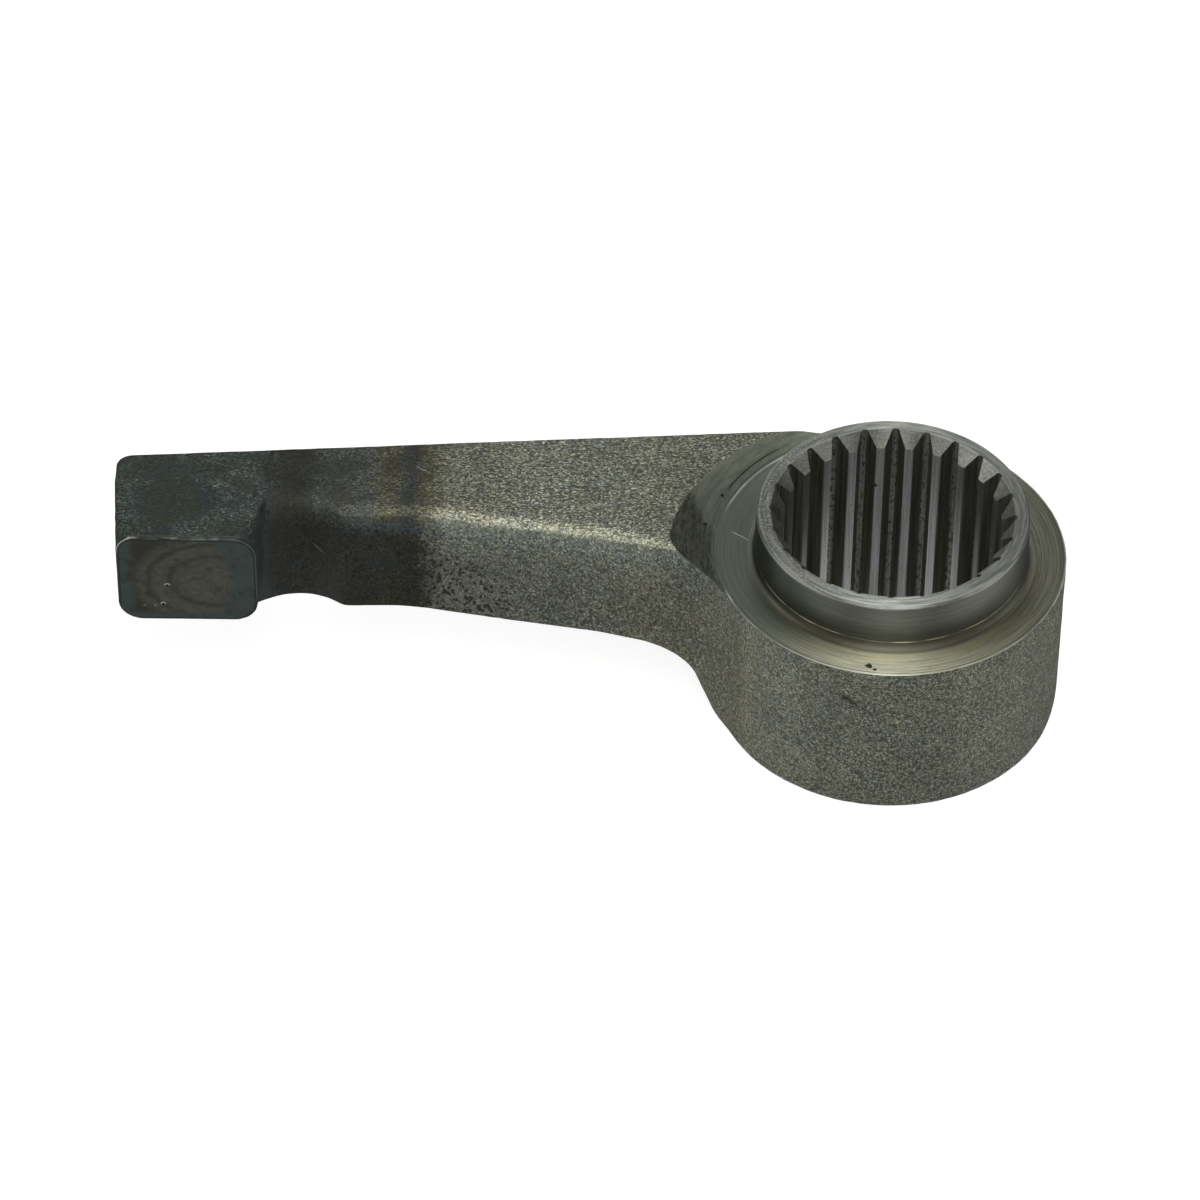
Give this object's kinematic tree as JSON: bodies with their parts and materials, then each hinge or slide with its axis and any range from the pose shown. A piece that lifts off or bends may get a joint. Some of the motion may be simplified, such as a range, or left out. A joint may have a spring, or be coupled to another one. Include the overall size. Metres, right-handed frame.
{
  "type": "clutch release lever",
  "caption": "Forged steel clutch release lever: a splined hub with a turned collar and a flat tapering arm that ends in a contact pad",
  "frame": {"origin": "on the axis of the splined bore, in the plane of the hub's lower end face", "axes": "+Z runs along the bore from the lower end face to the collar, and the arm points to -X with its contact pad facing -Y"},
  "size_m": [0.0997, 0.0366, 0.0253],
  "materials": {
    "forged_steel": "shot-blasted forged steel, turned bare at the hub's shoulder, collar and bore, and blackened by hardening at the pad end"
  },
  "bodies": {
    "root": {"release_lever": "forged_steel"}
  },
  "joints": []
}
